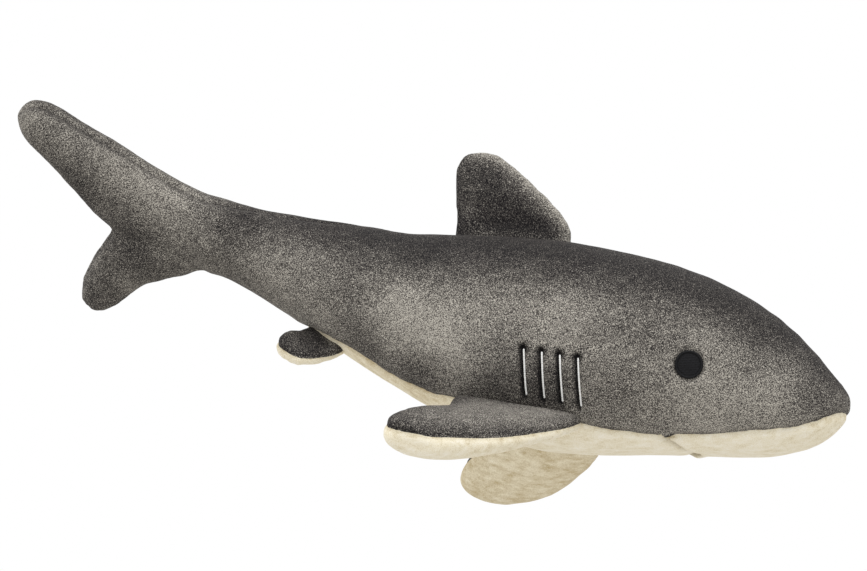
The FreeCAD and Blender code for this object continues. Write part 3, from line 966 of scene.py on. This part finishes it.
class SHARK_OT_body(bpy.types.Operator):
    """Sew the two side skins, the belly and the snout around the stuffed body and tail"""
    bl_idname = "shark.body"
    bl_label = "Body and tail skins"

    def execute(self, context):
        sizes = context.scene.shark_sizes
        sunk = 0.5
        bm = refined(sewn_form("body_form", body_form(), body_seams(), pressure=4.0, cap=2.5, sunk=sunk))
        uneven(bm, 0.5 * MM, 34 * MM)
        ends = [v.co for name in ("snout_panel", "right_tail_panel") for v in NODES[name].data.vertices]
        tips = [(max(ends, key=lambda p: p.dot(Vector(way))).copy(), push * MM, reach * MM)
                for way, push, reach in TIPS]
        fill_tips(bm, tips)
        gills = {side: [upright_line(points) for points in islands_of(f"{side}_gill_stitches")]
                 for side in ("right", "left")}
        eyes = {side: sum(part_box(f"{side}_eye"), Vector()) / 2 for side in ("right", "left")}
        mouth = seam_points(bm, (2, 3))
        detail = [p for lines in gills.values() for line in lines for p in line] + list(eyes.values())
        refine_near(bm, point_tree(detail), 8 * MM)
        refine_near(bm, mouth, 5 * MM)
        back = seam_points(bm, (0, 1))
        refine_near(bm, back, 3.5 * MM)
        painted_shade = bm.verts.layers.float.new("painted_shade")
        tree = seam_points(bm)
        tuck_seams(bm, tree, sizes.seam_depth, sizes.seam_width)
        tuck_seams(bm, back, 0.7 * sizes.seam_depth, 0.5 * sizes.seam_width)
        roll_lip(bm, mouth, bm.verts.layers.float["cut_2"], LIP_HEIGHT)
        bm.normal_update()
        SKIN["before stitching"] = BVHTree.FromBMesh(bm)
        for side in ("right", "left"):
            press_gills(bm, gills[side], GILL_DEPTH)
            centre = SKIN["before stitching"].find_nearest(eyes[side])[0]
            press_eye(bm, centre, sizes.eye_radius, EYE_DEPTH)
        SKIN["gills"], SKIN["eyes"] = gills, eyes
        bm.normal_update()
        nap_and_painted_light = bm.verts.layers.float.new("nap_and_painted_light")
        for v in bm.verts:
            # painted shade along every seam, darkest along the stitched back seam
            seam, stitched = bell(tree.find(v.co)[2], 1.1 * MM), bell(back.find(v.co)[2], 0.8 * MM)
            v[painted_shade] = max(v[painted_shade], 0.5 * seam, stitched)
            v[nap_and_painted_light] = nap_and_painted_light_of_body(v.co, v.normal, CAD_BOX[1].x)
        SKIN["finished"] = BVHTree.FromBMesh(bm)
        centre = Vector(JOINTS["tail_sway"]["pos_m"])
        reach = Vector((TAIL_BEND, 0, 0))
        bend = {"a": "trunk", "b": "tail", "start": centre + reach, "end": centre - reach}
        for number, (key, nodes) in enumerate(BODY_PANELS.items()):
            piece = panel_piece(bm, number, f"{key}_skin", sizes.fabric)
            grey = number < 2
            dress(piece, material_named(GREY if grey else CREAM),
                  nodes, fill=BODY_FILL)
            if grey:
                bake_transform(piece, **bend)
            else:
                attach(piece, "trunk")
        filling = filling_piece(bm, "body_filling", 4.2 * MM)
        dress(filling, material_named(FIBRE), BODY_FILLING, fill=BODY_FILL)
        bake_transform(filling, **bend)
        label = bm.faces.layers.int["panel"]
        runs = {"back_seam_thread": ({0, 1},), "right_belly_seam_thread": ({0, 2}, {0, 3}),
                "left_belly_seam_thread": ({1, 2}, {1, 3})}
        for name, pairs in runs.items():
            edges = [e for e in seam_edges(bm, label) if {f[label] for f in e.link_faces} in pairs]
            thread = stitched_thread(name.replace("thread", "stitches"), edges, SKIN["finished"], 1.0 * MM)
            dress(thread, material_named(SEWING_THREAD), (name,))
            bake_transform(thread, **bend)
        bm.free()
        return {"FINISHED"}


def outward(joint, panels):
    """Direction in which a fin stands out from its hinge."""
    boxes = [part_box(n) for n in panels]
    centre = sum(((low + high) / 2 for low, high in boxes), Vector()) / len(boxes)
    axis = Vector(joint["axis"]).normalized()
    away = centre - Vector(joint["pos_m"])
    return (away - axis * away.dot(axis)).normalized()


class SHARK_OT_fins(bpy.types.Operator):
    """Sew the dorsal, pectoral and pelvic fins, each from two padded panels"""
    bl_idname = "shark.fins"
    bl_label = "Fins"

    def execute(self, context):
        sizes = context.scene.shark_sizes
        for key, (body, joint_name, panels) in FINS.items():
            joint = JOINTS[joint_name]
            hinge, away = Vector(joint["pos_m"]), outward(joint, panels)
            axis = Vector(joint["axis"]).normalized()
            bm = fin_form(key, panels, hinge, away, axis, SHAPES[key.split("_")[-1]])
            flat = axis.cross(away)
            if (sum(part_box(panels[0]), Vector()) / 2 - hinge).dot(flat) > 0:
                flat = -flat
            cuts = [(lambda co: (co - hinge).dot(flat), None)]
            label_of = lambda face, layers: 1 if side_of(face, layers[0]) else 0
            sunk = 0.4
            bm = refined(sewn_form(f"{key}_form", bm, (cuts, label_of), pressure=3.0, cap=1.6, sunk=sunk))
            uneven(bm, 0.3 * MM, 20 * MM)
            tree = seam_points(bm)
            tuck_seams(bm, tree, 0.6 * sizes.seam_depth, 0.8 * sizes.seam_width)
            bm.normal_update()
            nap_and_painted_light, painted_shade = bm.verts.layers.float.new("nap_and_painted_light"), bm.verts.layers.float.new("painted_shade")
            for v in bm.verts:
                distance = tree.find(v.co)[2]
                place = v.co - hinge
                v[nap_and_painted_light] = nap_and_painted_light_of_fin(key, distance, place.x / (30 * MM), place.dot(away),
                                    key != "dorsal" and place.dot(flat) > 0)
                # painted shade along the fin's seam
                v[painted_shade] = 0.3 * bell(distance, 1.2 * MM)
            bend = {"a": "trunk", "b": body, "start": hinge - away * 1 * MM,
                    "end": hinge + away * (6 if "pelvic" in key else 10) * MM}
            for number, node in enumerate(panels):
                piece = panel_piece(bm, number, node.replace("_panel", "_skin"), 0.75 * sizes.fabric)
                cream = "bottom" in node
                dress(piece, material_named(CREAM if cream else GREY),
                      (node,), fill=FIN_FILL)
                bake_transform(piece, **bend)
            filling = filling_piece(bm, f"{key}_filling", 2.6 * MM)
            dress(filling, material_named(FIBRE), (f"{key}_stuffing",), fill=FIN_FILL)
            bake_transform(filling, **bend)
            bm.free()
        return {"FINISHED"}


def disc_on_skin(name, centre, surface, rings, height):
    """A round patch that follows the skin; height(r, angle) is how far it stands off the skin."""
    _, normal, _, _ = surface.find_nearest(centre)
    across = normal.cross(Vector((0, 0, 1))).normalized()
    up = across.cross(normal).normalized()
    if up.z < 0:
        up = -up
    bm = bmesh.new()
    count = 240
    rows = []
    for radius in rings:
        row = []
        for k in range(count):
            a = 2 * math.pi * k / count
            p = centre + across * radius * math.cos(a) + up * radius * math.sin(a)
            place, local, _, _ = surface.find_nearest(p)
            row.append(bm.verts.new(place + local.lerp(normal, 0.5) * height(radius, a)))
        rows.append(row)
    for one, two in zip(rows, rows[1:]):
        for k in range(count):
            bm.faces.new((one[k], two[k], two[(k + 1) % count], one[(k + 1) % count]))
    bm.faces.new(rows[0])
    bm.faces.new(list(reversed(rows[-1])))
    bmesh.ops.recalc_face_normals(bm, faces=bm.faces)
    return smooth_object(name, bm)


def satin(angle, turns):
    """Ridges of single threads laid side by side round a ring."""
    return abs(math.sin(angle * turns / 2)) ** 0.7


class SHARK_OT_eyes(bpy.types.Operator):
    """Embroider the eyes: a filled middle inside a satin-stitched ring, over a round backing"""
    bl_idname = "shark.eyes"
    bl_label = "Eyes"

    def execute(self, context):
        radius = context.scene.shark_sizes.eye_radius
        surface = SKIN["before stitching"]
        middle = EYE_MIDDLE * radius

        def height(r, angle):
            if r >= radius - 0.01 * MM:
                return -1.0 * MM
            if r > middle:
                t = (r - middle) / (radius - middle)
                ring = 0.75 * math.sin(math.pi * min(1.0, t)) ** 0.6
                return (-0.25 + ring + 0.10 * satin(angle, 56)) * MM
            x, y = r * math.cos(angle), r * math.sin(angle)
            row = math.floor(y / STITCH_ROW)
            rib = abs(math.sin(math.pi * y / STITCH_ROW))
            knot = abs(math.sin(math.pi * (x / (1.9 * MM) + 0.37 * row)))
            dome = 0.35 * (1 - (r / middle) ** 2)
            return (-0.05 + dome + 0.16 * rib * (0.5 + 0.5 * knot)) * MM

        def wave(r, angle):
            ripple = noise.noise(Vector((3 * math.cos(angle), 3 * math.sin(angle), 400 * r)))
            return (-3.3 + 0.15 * ripple) * MM

        steps = [radius * (0.03 + 0.97 * i / 34) for i in range(35)]
        for side in ("right", "left"):
            centre = surface.find_nearest(SKIN["eyes"][side])[0]
            eye = disc_on_skin(f"{side}_eye_stitches", centre, surface, steps, height)
            dress(eye, material_named(BLACK_THREAD), (f"{side}_eye",))
            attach(eye, "trunk")
            rings = [BACKING_RADIUS * (0.05 + 0.95 * i / 8) for i in range(9)]
            backing = disc_on_skin(f"{side}_eye_interfacing", centre, surface, rings, wave)
            thickened(backing, BACKING_THICKNESS)
            dress(backing, material_named(FIBRE), (f"{side}_eye_backing",))
            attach(backing, "trunk")
        return {"FINISHED"}


class SHARK_OT_gills(bpy.types.Operator):
    """Embroider four gill lines on each side in narrow satin stitch"""
    bl_idname = "shark.gills"
    bl_label = "Gills"

    def execute(self, context):
        width = context.scene.shark_sizes.gill_width
        surface = SKIN["before stitching"]
        for side in ("right", "left"):
            bm = bmesh.new()
            for line in SKIN["gills"][side]:
                points, normals, radii = [], [], []
                places = along(line, 0.2 * MM)
                last = len(places) - 1
                for i, p in enumerate(places):
                    place, normal, _, _ = surface.find_nearest(p)
                    ridge = 0.78 + 0.22 * satin(math.pi * 2 * i / 4.5, 1)
                    end = math.sqrt(min(1.0, (min(i, last - i) + 0.3) / 3))
                    points.append(place - normal * 0.12 * MM)
                    normals.append(normal)
                    radii.append(width / 2 * ridge * end)
                tube(bm, points, normals, radii, flatness=0.8, sides=10)
            bmesh.ops.recalc_face_normals(bm, faces=bm.faces)
            gills = smooth_object(f"{side}_gill_threads", bm)
            dress(gills, material_named(SILVER_THREAD), (f"{side}_gill_stitches",))
            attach(gills, "trunk")
        return {"FINISHED"}


class SHARK_OT_stage(bpy.types.Operator):
    """Set up the pale floor, the soft studio light and the camera"""
    bl_idname = "shark.stage"
    bl_label = "Stage"

    def execute(self, context):
        scene = context.scene
        scene.view_settings.view_transform = "Standard"
        world = bpy.data.worlds.new("studio")
        scene.world = world
        world.use_nodes = True
        sky = world.node_tree.nodes["Background"].inputs
        sky["Color"].default_value = (1, 1, 1, 1)
        sky["Strength"].default_value = 1.0
        mesh = bpy.data.meshes.new("floor")
        corners = [(x * FLOOR_HALF, y * FLOOR_HALF, 0) for x, y in ((-1, -1), (1, -1), (1, 1), (-1, 1))]
        mesh.from_pydata(corners, [], [(0, 1, 2, 3)])
        floor = object_from("floor", mesh)
        floor.location.z = -FLOOR_DEPTH
        material, tree = new_material("white studio paper, matt")
        shader = add(tree, "ShaderNodeBsdfPrincipled", {"Roughness": 0.9, "Base Color": linear("#d2d0cc")})
        add(tree, "ShaderNodeOutputMaterial", {}, {"Surface": shader.outputs["BSDF"]})
        mesh.materials.append(material)
        for name, place, size, power in LAMPS:
            light = bpy.data.lights.new(name, "AREA")
            light.size = size
            light.energy = power
            lamp = object_from(name, light)
            lamp.location = place
            lamp.rotation_euler = (Vector((0, 0, 0.07)) - Vector(place)).to_track_quat("-Z", "Y").to_euler()
        azimuth, elevation, roll = (math.radians(a) for a in (VIEW_AZIMUTH, VIEW_ELEVATION, VIEW_ROLL))
        back = Vector((math.sin(azimuth) * math.cos(elevation), -math.cos(azimuth) * math.cos(elevation),
                       math.sin(elevation)))
        right = Vector((math.cos(azimuth), math.sin(azimuth), 0))
        up = back.cross(right)
        side = right * math.cos(roll) + up * math.sin(roll)
        top = up * math.cos(roll) - right * math.sin(roll)
        aim = Vector((0, 0, VIEW_AIM[2])) + side * VIEW_AIM[0] + top * VIEW_AIM[1]
        camera = bpy.data.cameras.new("camera")
        camera.lens = LENS
        camera.sensor_width = SENSOR
        camera_object = object_from("camera", camera)
        turn = Matrix((side, top, back)).transposed().to_4x4()
        camera_object.matrix_world = Matrix.Translation(aim + back * VIEW_DISTANCE) @ turn
        scene.camera = camera_object
        return {"FINISHED"}


STEPS = (SHARK_OT_body, SHARK_OT_fins, SHARK_OT_eyes, SHARK_OT_gills, SHARK_OT_stage)


class SHARK_PT_panel(bpy.types.Panel):
    """One button for each group of pieces, and its sizes and colours"""
    bl_idname = "SHARK_PT_panel"
    bl_label = "Plush shark"
    bl_space_type = "VIEW_3D"
    bl_region_type = "UI"
    bl_category = "Plush shark"

    def draw(self, context):
        for step in STEPS:
            self.layout.operator(step.bl_idname)
        for group in (context.scene.shark_sizes, context.scene.shark_looks):
            for name in group.__annotations__:
                self.layout.prop(group, name)


CLASSES = (SharkSizes, SharkLooks) + STEPS + (SHARK_PT_panel,)


def register():
    for each in CLASSES:
        bpy.utils.register_class(each)
    bpy.types.Scene.shark_sizes = bpy.props.PointerProperty(type=SharkSizes)
    bpy.types.Scene.shark_looks = bpy.props.PointerProperty(type=SharkLooks)


def unregister():
    del bpy.types.Scene.shark_sizes
    del bpy.types.Scene.shark_looks
    for each in reversed(CLASSES):
        bpy.utils.unregister_class(each)


def main():
    register()
    bpy.ops.shark.body()
    bpy.ops.shark.fins()
    bpy.ops.shark.eyes()
    bpy.ops.shark.gills()
    bpy.ops.shark.stage()


if __name__ == "__main__":
    main()
